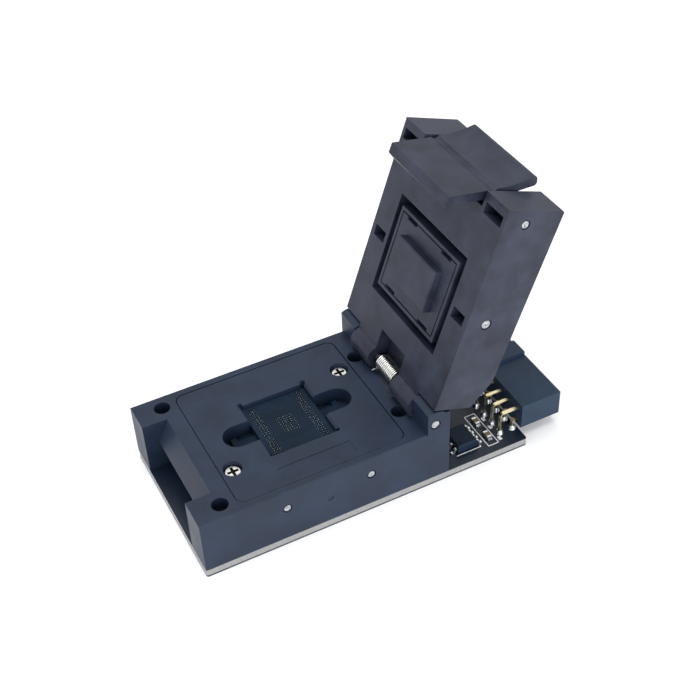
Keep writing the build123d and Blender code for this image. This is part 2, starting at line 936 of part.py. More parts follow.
def offset_inward(start, end, distance):
    """The two points of a line moved towards the hinge by a distance."""
    du = end[0] - start[0]
    dv = end[1] - start[1]
    length = (du * du + dv * dv) ** 0.5
    shift_u = -dv / length * distance
    shift_v = du / length * distance
    return (start[0] + shift_u, start[1] + shift_v), (end[0] + shift_u, end[1] + shift_v)


def on_line(start, end, v):
    """The point of a line at a given v."""
    part = (v - start[1]) / (end[1] - start[1])
    return (start[0] + part * (end[0] - start[0]), v)


def latch():
    """The latch: hook with a lip below, pin boss, and thumb tab above."""
    hook = (hook_edge_u, hook_edge_v)
    valley = (valley_u, valley_v)
    tab = (tab_edge_u, tab_edge_v)
    arm_low, arm_high = offset_inward(hook, valley, arm_thickness)
    tab_low, tab_high = offset_inward(valley, tab, tab_thickness)
    outline = [
        hook,
        valley,
        tab,
        tab_high,
        tab_low,
        on_line(arm_low, arm_high, valley_v - arm_thickness),
        on_line(arm_low, arm_high, lip_v),
        (lip_u, lip_v + lip_height),
        (lip_u, lip_v),
        (lip_heel_u, lip_heel_v),
    ]
    body = lid_prism(outline, -latch_half_width, latch_half_width)
    body += lid_rod(latch_pin_u, latch_pin_v, latch_boss_radius, -latch_half_width, latch_half_width)
    body += lid_box(
        latch_pin_u,
        valley_u - tab_thickness / 2,
        -latch_half_width,
        latch_half_width,
        latch_pin_v - latch_boss_radius,
        latch_pin_v + latch_boss_radius,
    )
    body -= lid_rod(
        latch_pin_u, latch_pin_v, latch_pin_radius + running_clearance, -latch_half_width, latch_half_width
    )
    for side in (-1, 1):
        body -= latch_spring_bore(side, latch_pin_u, latch_spring_seat_u)
    return body


def latch_pin():
    """The pin on which the latch turns."""
    return lid_rod(latch_pin_u, latch_pin_v, latch_pin_radius, -pin_end_y, pin_end_y)


def latch_springs():
    """Two springs between the lid and the thumb tab."""
    length = latch_spring_end_u - latch_spring_start_u
    spring = coil(latch_spring_radius, latch_spring_wire, length, latch_spring_turns)
    lying = Rot(0, -90, 0) * spring
    return [Pos(-latch_spring_start_u, side * latch_spring_y, latch_spring_v) * lying for side in (-1, 1)]


def header_body():
    """The header's moulding, with its key and its sockets."""
    y0 = header_shift_y - header_width / 2
    y1 = header_shift_y + header_width / 2
    body = box(board_length, overall_length, y0, y1, header_bottom, header_top)
    key_y0 = header_shift_y - key_width / 2
    key_y1 = header_shift_y + key_width / 2
    body += box(board_length, overall_length, key_y0, key_y1, header_top, header_top + key_height)
    body = chamfer(body.edges().filter_by(Axis.X).group_by(Axis.Z)[0], 0.2)
    cuts = []
    half = socket_hole_size / 2
    half_funnel = half + socket_hole_funnel
    for y in header_columns_y():
        for z in rows_z:
            hole_x = overall_length - socket_hole_depth
            cuts.append(box(hole_x, overall_length, y - half, y + half, z - half, z + half))
            mouth = Plane((overall_length, y, z), z_dir=(1, 0, 0)) * Rectangle(2 * half_funnel, 2 * half_funnel)
            throat_plane = Plane((overall_length - socket_hole_funnel, y, z), z_dir=(1, 0, 0))
            cuts.append(loft([throat_plane * Rectangle(2 * half, 2 * half), mouth]))
            slot_half_y = lead_width / 2 + seat_clearance
            slot_half_z = lead_thickness / 2 + seat_clearance
            cuts.append(
                box(board_length, hole_x, y - slot_half_y, y + slot_half_y, z - slot_half_z, z + slot_half_z)
            )
    return body - cuts


def header_contact(foot, z):
    """One contact: a lead bent down through the board and a blade in its socket."""
    blade_start = overall_length - socket_hole_depth
    bend = FilletPolyline((foot, 0, 0), (foot, 0, z), (blade_start, 0, z), radius=lead_bend_radius)
    section = Plane(origin=(foot, 0, 0), x_dir=(0, 1, 0), z_dir=(0, 0, 1))
    lead = sweep(section * Rectangle(lead_width, lead_thickness), path=bend)
    blade_top = z + lead_thickness / 2
    blade = box(
        blade_start - 0.1,
        overall_length - 1.5,
        -lead_width / 2,
        lead_width / 2,
        blade_top - blade_thickness,
        blade_top,
    )
    return lead + blade


def header_contacts(row):
    """All contacts of one row, 0 for the lower and 1 for the upper."""
    contact = header_contact(foot_x[row], rows_z[row])
    return [Pos(0, y, 0) * contact for y in header_columns_y()]


def chip_body():
    """The small chip's moulded body."""
    z0 = board_top + chip_lift
    body = box(
        chip_x - chip_length / 2,
        chip_x + chip_length / 2,
        chip_y - chip_width / 2,
        chip_y + chip_width / 2,
        z0,
        z0 + chip_height,
    )
    body = chamfer(body.edges().group_by(Axis.Z)[-1], 0.25)
    dot = rod_z(
        chip_x - chip_length / 2 + 0.8, chip_y - chip_width / 2 + 0.8, 0.3, z0 + chip_height - 0.1, z0 + 2
    )
    return body - dot


def chip_leads():
    """The chip's eight bent leads."""
    shoulder_z = board_top + chip_lift + chip_height / 2
    foot_z = board_top + chip_lead_thickness / 2
    leads = []
    for side in (-1, 1):
        points = [
            (chip_x + side * chip_length / 2, 0, shoulder_z),
            (chip_x + side * (chip_length / 2 + 0.45), 0, shoulder_z),
            (chip_x + side * (chip_length / 2 + 0.5), 0, foot_z),
            (chip_x + side * chip_lead_span / 2, 0, foot_z),
        ]
        path = FilletPolyline(*points, radius=0.15)
        section = Plane(origin=path @ 0, x_dir=(0, 1, 0), z_dir=path % 0)
        lead = sweep(section * Rectangle(chip_lead_width, chip_lead_thickness), path=path)
        leads += [Pos(0, y, 0) * lead for y in chip_leads_y()]
    return leads


def capacitor_bodies():
    """The ceramic bodies of the two small capacitors."""
    half = capacitor_length / 2 - capacitor_end_length
    return [
        box(
            capacitor_x - capacitor_width / 2,
            capacitor_x + capacitor_width / 2,
            y - half,
            y + half,
            board_top,
            board_top + capacitor_height,
        )
        for y in capacitor_y
    ]


def capacitor_ends():
    """The tinned ends of the capacitors."""
    ends = []
    for y in capacitor_y:
        for side in (-1, 1):
            outer = y + side * capacitor_length / 2
            y0, y1 = sorted((outer, outer - side * capacitor_end_length))
            x0 = capacitor_x - capacitor_width / 2
            x1 = capacitor_x + capacitor_width / 2
            ends.append(box(x0, x1, y0, y1, board_top, board_top + capacitor_height))
    return ends


def solder_joints():
    """Solder at the header's feet, at the chip's leads and at the capacitors' ends."""
    joints = []
    solder_top = board_top + solder_height
    for x in foot_x:
        for y in header_columns_y():
            cone = cone_z(x, y, solder_foot_radius, solder_top_radius, board_top, solder_top)
            half_x = lead_thickness / 2
            half_y = lead_width / 2
            joints.append(cone - box(x - half_x, x + half_x, y - half_y, y + half_y, board_top, solder_top))
    for side in (-1, 1):
        tip = chip_x + side * chip_lead_span / 2
        wedge = [(tip, board_top), (tip + side * fillet_reach, board_top), (tip, board_top + chip_lead_thickness)]
        half = chip_lead_width / 2
        joints += [prism_y(wedge, y - half, y + half) for y in chip_leads_y()]
    for y in capacitor_y:
        for side in (-1, 1):
            end = y + side * capacitor_length / 2
            y0, y1 = sorted((end, end + side * fillet_reach))
            block = box(
                capacitor_x - capacitor_width / 2,
                capacitor_x + capacitor_width / 2,
                y0,
                y1,
                board_top,
                board_top + capacitor_height / 2,
            )
            outer_edge = block.edges().filter_by(Axis.X).group_by(Axis.Z)[-1].sort_by(Axis.Y)
            picked = outer_edge[-1] if side > 0 else outer_edge[0]
            joints.append(chamfer(picked, fillet_reach * 0.8))
    return joints


def write(name, shape):
    """Move a piece, or a group of separate pieces, to the middle and write it."""
    pieces = shape if isinstance(shape, list) else [shape]
    solids = [solid for piece in pieces for solid in piece.solids()]
    moved = [Pos(-overall_length / 2, 0, 0) * solid for solid in solids]
    export_step(moved[0] if len(moved) == 1 else Compound(children=moved), f"parts/{name}.step")


os.makedirs("parts", exist_ok=True)

write("circuit_board", circuit_board())
write("base_screws", base_screws())
write("socket_base", socket_base())
write("retaining_pins", retaining_pins())
write("guide_plate", guide_plate())
write("guide_plate_screws", guide_plate_screws())
write("contact_block_lower", contact_block_lower())
write("contact_block_upper", contact_block_upper())
write("contact_barrels", contact_barrels())
write("contact_plungers", contact_plungers())
write("contact_pads", contact_pads())
write("floating_plate", floating_plate())
write("floating_plate_springs", floating_plate_springs())
write("hinge_pin", hinge_pin())
write("hinge_spring", hinge_spring())
write("lid_shell", open_lid(lid_shell()))
write("pusher_frame", open_lid(pusher_frame()))
write("pusher_block", open_lid(pusher_block()))
write("pusher_pin", open_lid(pusher_pin()))
write("pusher_springs", [open_lid(spring) for spring in pusher_springs()])
write("latch", open_lid(latch()))
write("latch_pin", open_lid(latch_pin()))
write("latch_springs", [open_lid(spring) for spring in latch_springs()])
write("header_body", header_body())
write("header_contacts_lower", header_contacts(0))
write("header_contacts_upper", header_contacts(1))
write("chip_body", chip_body())
write("chip_leads", chip_leads())
write("capacitor_bodies", capacitor_bodies())
write("capacitor_ends", capacitor_ends())
write("solder_joints", solder_joints())
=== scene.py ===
from math import radians

import bpy
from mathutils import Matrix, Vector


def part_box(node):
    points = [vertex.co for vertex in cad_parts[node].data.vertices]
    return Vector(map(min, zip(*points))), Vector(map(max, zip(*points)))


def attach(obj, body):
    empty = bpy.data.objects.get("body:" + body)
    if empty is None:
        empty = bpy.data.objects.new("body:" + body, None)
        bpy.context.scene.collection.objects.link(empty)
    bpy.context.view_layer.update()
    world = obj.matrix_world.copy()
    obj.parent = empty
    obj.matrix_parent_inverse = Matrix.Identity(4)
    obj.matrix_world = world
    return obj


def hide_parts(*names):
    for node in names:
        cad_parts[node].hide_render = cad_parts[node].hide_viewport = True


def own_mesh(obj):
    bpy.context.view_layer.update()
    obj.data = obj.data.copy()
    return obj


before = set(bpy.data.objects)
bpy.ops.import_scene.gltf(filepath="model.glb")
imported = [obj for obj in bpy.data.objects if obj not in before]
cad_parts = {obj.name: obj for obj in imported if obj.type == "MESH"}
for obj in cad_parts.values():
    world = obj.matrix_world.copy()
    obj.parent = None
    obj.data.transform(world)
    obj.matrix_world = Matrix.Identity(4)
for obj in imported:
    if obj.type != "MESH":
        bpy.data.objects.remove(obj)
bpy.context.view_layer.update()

# Camera: a short telephoto a hand's breadth and a half away, looking down on the open socket
# from its latch end. It stands where the lines of the board and the lid say it stood.
camera_data = bpy.data.cameras.new("product_camera")
camera_data.sensor_width = 36.0
camera_data.lens = 65.38
camera_data.clip_start = 0.01
camera = bpy.data.objects.new("product_camera", camera_data)
camera.location = (-0.068155, -0.141187, 0.158569)
camera.rotation_euler = (radians(48.8056), radians(1.8888), radians(-27.5146))
bpy.context.collection.objects.link(camera)
bpy.context.scene.camera = camera

# Room: a white sweep of paper under soft overhead light, with a long soft box on the latch side
# and a stronger one on the near side. Nothing in it is part of the socket.
bpy.context.scene.view_settings.view_transform = "Standard"


def linear(colour):
    """The linear values of an sRGB hex colour."""
    parts = [int(colour[i:i + 2], 16) / 255 for i in (1, 3, 5)]
    return tuple(
        c / 12.92 if c <= 0.04045 else ((c + 0.055) / 1.055) ** 2.4 for c in parts
    ) + (1.0,)


def add(tree, kind, settings=None, links=None):
    """A new node in a tree, with its settings and what feeds its sockets."""
    node = tree.nodes.new(kind)
    for name, value in (settings or {}).items():
        if isinstance(name, int) or name in node.inputs:
            node.inputs[name].default_value = value
        else:
            setattr(node, name, value)
    for socket, source in (links or {}).items():
        tree.links.new(source, node.inputs[socket])
    return node


world = bpy.data.worlds.new("studio_air")
bpy.context.scene.world = world
world.use_nodes = True
sky = world.node_tree
sky.nodes["Background"].inputs["Color"].default_value = linear("#f4f6fb")
sky.nodes["Background"].inputs["Strength"].default_value = 0.6
white = add(sky, "ShaderNodeBackground", {"Color": (1, 1, 1, 1), "Strength": 1.0})
rays = add(sky, "ShaderNodeLightPath")
mirrored = add(sky, "ShaderNodeMath", {"operation": "ADD", "use_clamp": True}, {
    0: rays.outputs["Is Camera Ray"],
    1: rays.outputs["Is Glossy Ray"],
})
seen = add(sky, "ShaderNodeMath", {"operation": "ADD", "use_clamp": True}, {
    0: mirrored.outputs[0],
    1: rays.outputs["Is Transmission Ray"],
})
mixed = add(sky, "ShaderNodeMixShader", {}, {
    0: seen.outputs[0],
    1: sky.nodes["Background"].outputs[0],
    2: white.outputs[0],
})
sky.links.new(mixed.outputs[0], sky.nodes["World Output"].inputs["Surface"])

for name, place, turn, size, power in (
    ("overhead_softbox", (-0.05, 0.05, 0.55), (0, 0, 0), (0.5, 0.5), 2.4),
    ("latch_side_softbox", (-0.45, -0.10, 0.16), (0, radians(-78), 0), (0.35, 0.6), 0.7),
    ("near_side_softbox", (0.05, -0.45, 0.14), (radians(78), 0, 0), (0.5, 0.3), 2.1),
):
    lamp_data = bpy.data.lights.new(name, "AREA")
    lamp_data.shape = "RECTANGLE"
    lamp_data.size, lamp_data.size_y = size
    lamp_data.energy = power
    lamp = bpy.data.objects.new(name, lamp_data)
    lamp.location = place
    lamp.rotation_euler = turn
    bpy.context.collection.objects.link(lamp)

bpy.ops.object.select_all(action="DESELECT")
bpy.ops.mesh.primitive_plane_add(size=3.0, location=(0, 0, 0))
floor = bpy.context.active_object
floor.name = "paper_sweep"
bpy.ops.object.transform_apply(location=True, rotation=True, scale=True)
paper = bpy.data.materials.new("white_paper")
paper.use_nodes = True
shader = paper.node_tree.nodes["Principled BSDF"]
shader.inputs["Base Color"].default_value = linear("#fefefe")
shader.inputs["Roughness"].default_value = 0.9
shader.inputs["Specular IOR Level"].default_value = 0.1
floor.data.materials.append(paper)

# Socket base: a block of high-temperature thermoplastic, moulded and left as it comes from the
# tool, screwed down from under the board. Nearly black with a slate-blue cast, and satin.
merge_distance = 0.000002
whole_face_angle = radians(0.5)
sharp_angle = radians(30)
smooth_angle = radians(35)
face_weight = 100
clouds_per_metre = 220.0
grain_depth = 0.00003


def pick(piece):
    """Makes a piece the active one and the only one selected."""
    bpy.ops.object.select_all(action="DESELECT")
    piece.select_set(True)
    bpy.context.view_layer.objects.active = piece


def dress(node, material):
    """Gives a CAD node its finish."""
    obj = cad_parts[node]
    obj.data.materials.clear()
    obj.data.materials.append(material)


def loose_copy(node, whole_faces=True):
    """A copy of a CAD node with its mesh merged, and its flat faces made whole if asked."""
    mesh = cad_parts[node].data.copy()
    piece = bpy.data.objects.new(node + "_moulding", mesh)
    bpy.context.collection.objects.link(piece)
    pick(piece)
    bpy.ops.object.mode_set(mode="EDIT")
    bpy.ops.mesh.select_all(action="SELECT")
    bpy.ops.mesh.remove_doubles(threshold=merge_distance)
    if whole_faces:
        bpy.ops.mesh.dissolve_limited(angle_limit=whole_face_angle)
    bpy.ops.object.mode_set(mode="OBJECT")
    return piece


def finish(piece, node, body, material, width):
    """Breaks the sharp edges of a worked copy, as a tool leaves them, and puts it in place."""
    pick(piece)
    bevel = piece.modifiers.new("broken_edges", "BEVEL")
    bevel.width = width
    bevel.segments = 2
    bevel.limit_method = "ANGLE"
    bevel.angle_limit = sharp_angle
    bpy.ops.object.modifier_apply(modifier=bevel.name)
    bpy.ops.object.shade_smooth_by_angle(angle=smooth_angle)
    flat = piece.modifiers.new("flat_faces", "WEIGHTED_NORMAL")
    flat.weight = face_weight
    flat.keep_sharp = True
    bpy.ops.object.modifier_apply(modifier=flat.name)
    piece.data.materials.clear()
    piece.data.materials.append(material)
    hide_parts(node)
    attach(piece, body)


def moulded_plastic(name, dark, light, roughness, grain_mm, bump, specular=0.25):
    """Moulded plastic: two close tones in clouds about 5 mm wide, as flow leaves them, a fine
    spark-eroded grain that dulls the light, and slightly uneven gloss. The real grain is finer
    than 0.1 mm; it is drawn at grain_mm, so that it shows."""
    material = bpy.data.materials.new(name)
    material.use_nodes = True
    tree = material.node_tree
    shader = tree.nodes["Principled BSDF"]
    place = add(tree, "ShaderNodeTexCoord").outputs["Object"]
    cloud = add(tree, "ShaderNodeTexNoise", {"Scale": clouds_per_metre, "Detail": 5.0}, {
        "Vector": place,
    })
    tone = add(tree, "ShaderNodeValToRGB", {}, {"Fac": cloud.outputs["Fac"]})
    tone.color_ramp.elements[0].position = 0.35
    tone.color_ramp.elements[0].color = linear(dark)
    tone.color_ramp.elements[1].position = 0.7
    tone.color_ramp.elements[1].color = linear(light)
    tree.links.new(tone.outputs["Color"], shader.inputs["Base Color"])
    gloss = add(tree, "ShaderNodeMapRange", {
        "From Min": 0.3, "From Max": 0.7,
        "To Min": roughness - 0.05, "To Max": roughness + 0.06,
    }, {"Value": cloud.outputs["Fac"]})
    tree.links.new(gloss.outputs["Result"], shader.inputs["Roughness"])
    grain = add(tree, "ShaderNodeTexNoise", {"Scale": 1000.0 / grain_mm, "Detail": 2.0}, {
        "Vector": place,
    })
    relief = add(tree, "ShaderNodeBump", {"Strength": bump, "Distance": grain_depth}, {
        "Height": grain.outputs["Fac"],
    })
    tree.links.new(relief.outputs["Normal"], shader.inputs["Normal"])
    shader.inputs["Specular IOR Level"].default_value = specular
    return material


slate_plastic = moulded_plastic(
    "moulded_slate_plastic", "#152031", "#1e2a3d", roughness=0.45, grain_mm=0.25, bump=0.5
)
base = loose_copy("socket_base")
finish(base, "socket_base", "base", slate_plastic, width=0.00012)

# Guide plate: the same plastic, a separate inset plate held by two screws. It centres the chip
# over the probes, and its two notches let a fingertip or tweezers reach the chip.
guide = loose_copy("guide_plate")
finish(guide, "guide_plate", "base", slate_plastic, width=0.0001)

# Floating plate: the sprung chip seat, drilled all over on the probes' 0.5 mm grid. The holes
# that hold no probe are not cut; painted shade stands for them as dark dots in its colour. Matt
# plastic.
drilled_plastic = moulded_plastic(
    "drilled_slate_plastic", "#101d2b", "#172636",
    roughness=0.5, grain_mm=0.25, bump=0.5, specular=0.08,
)
seat_low, seat_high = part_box("floating_plate")
seat_middle = ((seat_low[0] + seat_high[0]) / 2, (seat_low[1] + seat_high[1]) / 2)
probe_pitch = 0.0005
drilled_half = (0.0033, 0.0036)
hole_radius_squared = 0.075  # in grid cells, a hole of about 0.27 mm
tree = drilled_plastic.node_tree
shader = tree.nodes["Principled BSDF"]
plain = shader.inputs["Base Color"].links[0].from_socket
parts = add(tree, "ShaderNodeSeparateXYZ", {}, {
    "Vector": add(tree, "ShaderNodeTexCoord").outputs["Object"],
})
squares = []
insides = []
for axis, middle, half in zip("XY", seat_middle, drilled_half):
    from_middle = add(tree, "ShaderNodeMath", {"operation": "SUBTRACT", 1: middle}, {
        0: parts.outputs[axis],
    }).outputs[0]
    cells = add(tree, "ShaderNodeMath", {"operation": "DIVIDE", 1: probe_pitch}, {
        0: from_middle,
    }).outputs[0]
    within = add(tree, "ShaderNodeMath", {"operation": "FLOORED_MODULO", 1: 1.0}, {
        0: cells,
    }).outputs[0]
    aside = add(tree, "ShaderNodeMath", {"operation": "SUBTRACT", 1: 0.5}, {
        0: within,
    }).outputs[0]
    squares.append(add(tree, "ShaderNodeMath", {"operation": "MULTIPLY"}, {
        0: aside,
        1: aside,
    }).outputs[0])
    distance = add(tree, "ShaderNodeMath", {"operation": "ABSOLUTE"}, {
        0: from_middle,
    }).outputs[0]
    insides.append(add(tree, "ShaderNodeMath", {"operation": "LESS_THAN", 1: half}, {
        0: distance,
    }).outputs[0])
from_hole = add(tree, "ShaderNodeMath", {"operation": "ADD"}, {
    0: squares[0],
    1: squares[1],
}).outputs[0]
painted_hole_shade_dot = add(tree, "ShaderNodeMath", {"operation": "LESS_THAN", 1: hole_radius_squared}, {
    0: from_hole,
}).outputs[0]
inside = add(tree, "ShaderNodeMath", {"operation": "MULTIPLY"}, {
    0: insides[0],
    1: insides[1],
}).outputs[0]
drilled = add(tree, "ShaderNodeMath", {"operation": "MULTIPLY"}, {0: painted_hole_shade_dot, 1: inside}).outputs[0]
# Painted shade: near-black #060a12 dots stand for the shade inside the uncut holes.
holes = add(tree, "ShaderNodeMix", {"data_type": "RGBA", 7: linear("#060a12")}, {
    0: drilled,
    6: plain,
})
tree.links.new(holes.outputs[2], shader.inputs["Base Color"])
dress("floating_plate", drilled_plastic)

# Probe plates: two drilled plates of machined plastic under the floating plate. They hold the
# probes upright and are themselves held by the retaining pins.
dress("contact_block_lower", slate_plastic)
dress("contact_block_upper", slate_plastic)

# Probes: a barrel and a pointed plunger each, gold over nickel, with a gold pad under each tail.
# Only the tips show, as bright specks in the floating plate's holes.


def bright_metal(name, dark, light, roughness, scratch_mm):
    """Bare or plated metal: two close tones and a roughness broken by scratches, which spread
    each glint a little. Real scratches are finer; they are drawn at scratch_mm, so they show."""
    material = bpy.data.materials.new(name)
    material.use_nodes = True
    tree = material.node_tree
    shader = tree.nodes["Principled BSDF"]
    shader.inputs["Metallic"].default_value = 1.0
    place = add(tree, "ShaderNodeTexCoord").outputs["Object"]
    marks = add(tree, "ShaderNodeTexNoise", {"Scale": 1000.0 / scratch_mm, "Detail": 3.0}, {
        "Vector": place,
    })
    tone = add(tree, "ShaderNodeValToRGB", {}, {"Fac": marks.outputs["Fac"]})
    tone.color_ramp.elements[0].position = 0.35
    tone.color_ramp.elements[0].color = linear(dark)
    tone.color_ramp.elements[1].position = 0.65
    tone.color_ramp.elements[1].color = linear(light)
    tree.links.new(tone.outputs["Color"], shader.inputs["Base Color"])
    gloss = add(tree, "ShaderNodeMapRange", {
        "From Min": 0.3, "From Max": 0.7,
        "To Min": roughness - 0.06, "To Max": roughness + 0.08,
    }, {"Value": marks.outputs["Fac"]})
    tree.links.new(gloss.outputs["Result"], shader.inputs["Roughness"])
    return material


probe_gold = bright_metal(
    "gold_over_nickel", "#e2dcc8", "#f6f2e4", roughness=0.45, scratch_mm=0.1
)
for node in ("contact_plungers", "contact_barrels", "contact_pads"):
    dress(node, probe_gold)

# Pins: ground steel rod. The hinge, pusher and latch pins cross the whole width, and four short
# ones hold the probe plates; their ends show as bright dots in the sides.
ground_steel = bright_metal(
    "ground_steel", "#84878a", "#c6c8c9", roughness=0.3, scratch_mm=0.4
)
for node in ("hinge_pin", "pusher_pin", "latch_pin", "retaining_pins"):
    dress(node, ground_steel)

# Screws: nickel plated steel with a pressed cross recess. Below the head's face the colour
# is painted nearly black, as painted shade in the recess.
nickel = bright_metal(
    "nickel_plated_steel", "#d0cec9", "#f2f0ea", roughness=0.22, scratch_mm=0.3
)
dress("base_screws", nickel)
recess_shaded_nickel = nickel.copy()
recess_shaded_nickel.name = "nickel_with_painted_recess_shade"
tree = recess_shaded_nickel.node_tree
shader = tree.nodes["Principled BSDF"]
plating = shader.inputs["Base Color"].links[0].from_socket
head_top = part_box("guide_plate_screws")[1][2]
# Painted shade: from 0.15 mm to 0.25 mm below the head's top the colour fades to near black.
dark_below = 0.00025
bright_above = 0.00015
level = add(tree, "ShaderNodeSeparateXYZ", {}, {
    "Vector": add(tree, "ShaderNodeTexCoord").outputs["Object"],
}).outputs["Z"]
painted_recess_shade_mask = add(tree, "ShaderNodeMapRange", {
    "From Min": head_top - dark_below, "From Max": head_top - bright_above,
    "To Min": 1.0, "To Max": 0.0,
}, {"Value": level})
# The near-black #34363a is painted shade in the recess.
recess = add(tree, "ShaderNodeMix", {"data_type": "RGBA", 7: linear("#34363a")}, {
    0: painted_recess_shade_mask.outputs["Result"],
    6: plating,
})
tree.links.new(recess.outputs[2], shader.inputs["Base Color"])
dress("guide_plate_screws", recess_shaded_nickel)

# Springs: drawn wire. Only the hinge spring shows, a tight bright coil between the knuckles. The
# four under the floating plate are copied, merged and ride with the base.
spring_wire = bright_metal(
    "drawn_spring_wire", "#a2a4a4", "#d6d6d2", roughness=0.22, scratch_mm=0.1
)
for node in ("hinge_spring", "pusher_springs", "latch_springs"):
    dress(node, spring_wire)
seat_springs = loose_copy("floating_plate_springs", whole_faces=False)
bpy.ops.object.shade_smooth_by_angle(angle=smooth_angle)
seat_springs.data.materials.clear()
seat_springs.data.materials.append(spring_wire)
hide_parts("floating_plate_springs")
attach(seat_springs, "base")
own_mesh(seat_springs)

# Lid: a thick shell of a greyer thermoplastic from another tool, moulded in one piece with its
# hinge knuckles, and swung on the hinge pin. Satin, with a faint bloom over the dark plastic.
grey_plastic = moulded_plastic(
    "moulded_grey_plastic", "#1c202d", "#2f3443", roughness=0.45, grain_mm=0.25, bump=0.5
)
finish(loose_copy("lid_shell"), "lid_shell", "lid", grey_plastic, width=0.00015)

# Pusher: a frame that tilts on its pin in the lid's window, and a block pegged into it that
# presses on the chip. Both are machined from the lid's plastic.
for node, width in (("pusher_frame", 0.00004), ("pusher_block", 0.0001)):
    finish(loose_copy(node), node, "pusher", grey_plastic, width)

# Latch: one moulding on its pin, with a hooked plate below and a thumb tab above. A shallow
# groove parts the two. The thumb's side of the tab is hollowed and its end is rounded.
tip_reach = 0.0015
long_edge = 0.015


def scoop(piece, radius, x, z):
    """Cuts a long round hollow across a piece, its axis along Y at x and z."""
    bpy.ops.object.select_all(action="DESELECT")
    bpy.ops.mesh.primitive_cylinder_add(
        vertices=240, radius=radius, depth=0.03, location=(x, 0, z), rotation=(radians(90), 0, 0)
    )
    tool = bpy.context.active_object
    cut = piece.modifiers.new("hollow", "BOOLEAN")
    cut.operation = "DIFFERENCE"
    cut.solver = "EXACT"
    cut.object = tool
    pick(piece)
    bpy.ops.object.modifier_apply(modifier=cut.name)
    bpy.data.objects.remove(tool)


latch = loose_copy("latch")
tip_x = max(vertex.co.x for vertex in latch.data.vertices)
bpy.ops.object.mode_set(mode="EDIT")
bpy.ops.mesh.select_all(action="DESELECT")
bpy.ops.mesh.select_mode(type="EDGE")
bpy.ops.object.mode_set(mode="OBJECT")
for edge in latch.data.edges:
    ends = [latch.data.vertices[i].co for i in edge.vertices]
    at_tip = all(end.x > tip_x - tip_reach for end in ends)
    edge.select = at_tip and abs(ends[0].y - ends[1].y) > long_edge
bpy.ops.object.mode_set(mode="EDIT")
bpy.ops.mesh.bevel(offset=0.0006, segments=4, affect="EDGES")
bpy.ops.object.mode_set(mode="OBJECT")
scoop(latch, radius=0.0175, x=0.02511, z=0.06797)
scoop(latch, radius=0.0010, x=0.02116, z=0.05155)
finish(latch, "latch", "latch", grey_plastic, width=0.00015)

# Header: black glass-filled nylon, moulded, a little coarser than the socket. It hangs on its
# leads at the board's rear edge, with the key on top.
black_nylon = moulded_plastic(
    "moulded_black_nylon", "#16263a", "#1e3246", roughness=0.5, grain_mm=0.3, bump=0.6
)
header = loose_copy("header_body", whole_faces=False)
finish(header, "header_body", "base", black_nylon, width=0.00005)

# Header leads: flat copper-alloy strip, stamped, held in the nylon, and bent down into the board.
# The thin gold plating is pale, and long soft streaks run over it.
pale_gold = bright_metal(
    "pale_gold_plate", "#e2d4a4", "#f2e8c2", roughness=0.28, scratch_mm=2.0
)
for node in ("header_contacts_lower", "header_contacts_upper"):
    dress(node, pale_gold)

# Small chip: an epoxy body moulded round its lead frame, soldered to the board by eight bent
# leads. The epoxy is dull and nearly black, and the tin on the leads is matt and pale.
epoxy = moulded_plastic(
    "moulded_epoxy", "#101d2d", "#172639",
    roughness=0.5, grain_mm=0.15, bump=0.6, specular=0.15,
)
dress("chip_body", epoxy)
tin = bright_metal("matte_tin_plate", "#cfd2d5", "#f2f3f4", roughness=0.3, scratch_mm=0.2)
dress("chip_leads", tin)

# Capacitors: layered ceramic, fired and dipped in tin at both ends, then soldered flat to the
# board. The ceramic is a warm brown with a slight gloss.
ceramic = moulded_plastic(
    "fired_ceramic", "#6d5d49", "#857460", roughness=0.4, grain_mm=0.1, bump=0.3
)
dress("capacitor_bodies", ceramic)
dress("capacitor_ends", tin)

# Solder: cones that wet the header's leads where they pass the board, and wedges at the feet of
# the small parts. It sets from the melt with a smooth, bright skin.
solder = bright_metal(
    "reflowed_solder", "#70757a", "#aeb2b6", roughness=0.22, scratch_mm=0.4
)
dress("solder_joints", solder)

# Circuit board: glass-epoxy laminate between two coats of dark blue solder mask, sawn to size.
# The sawn edge shows the pale laminate, with the darker copper and mask at its top rim. At its
# foot a 0.32 mm dark band is the mask plus a painted contact shadow.
weave_mm = 0.4
mask_clouds_per_metre = 120.0  # patches about 8 mm wide
# The dark band at the edge's foot, below this height, is mask plus painted contact shadow.
core_bottom_above_shadow = 0.00032
core_top = 0.00152
upright_limit = 0.5
board_material = bpy.data.materials.new("masked_laminate")
board_material.use_nodes = True
tree = board_material.node_tree
shader = tree.nodes["Principled BSDF"]
place = add(tree, "ShaderNodeTexCoord").outputs["Object"]
height = add(tree, "ShaderNodeSeparateXYZ", {}, {"Vector": place}).outputs["Z"]
facing = add(tree, "ShaderNodeSeparateXYZ", {}, {
    "Vector": add(tree, "ShaderNodeNewGeometry").outputs["Normal"],
}).outputs["Z"]
upright = add(tree, "ShaderNodeMath", {"operation": "ABSOLUTE"}, {0: facing}).outputs[0]
on_edge = add(tree, "ShaderNodeMath", {"operation": "LESS_THAN", 1: upright_limit}, {
    0: upright,
}).outputs[0]
above = add(tree, "ShaderNodeMath", {"operation": "GREATER_THAN", 1: core_bottom_above_shadow}, {
    0: height,
}).outputs[0]
below = add(tree, "ShaderNodeMath", {"operation": "LESS_THAN", 1: core_top}, {
    0: height,
}).outputs[0]
between = add(tree, "ShaderNodeMath", {"operation": "MULTIPLY"}, {0: above, 1: below}).outputs[0]
is_core = add(tree, "ShaderNodeMath", {"operation": "MULTIPLY"}, {
    0: between,
    1: on_edge,
}).outputs[0]
glass = add(tree, "ShaderNodeTexNoise", {"Scale": 1000.0 / weave_mm, "Detail": 3.0}, {
    "Vector": place,
})
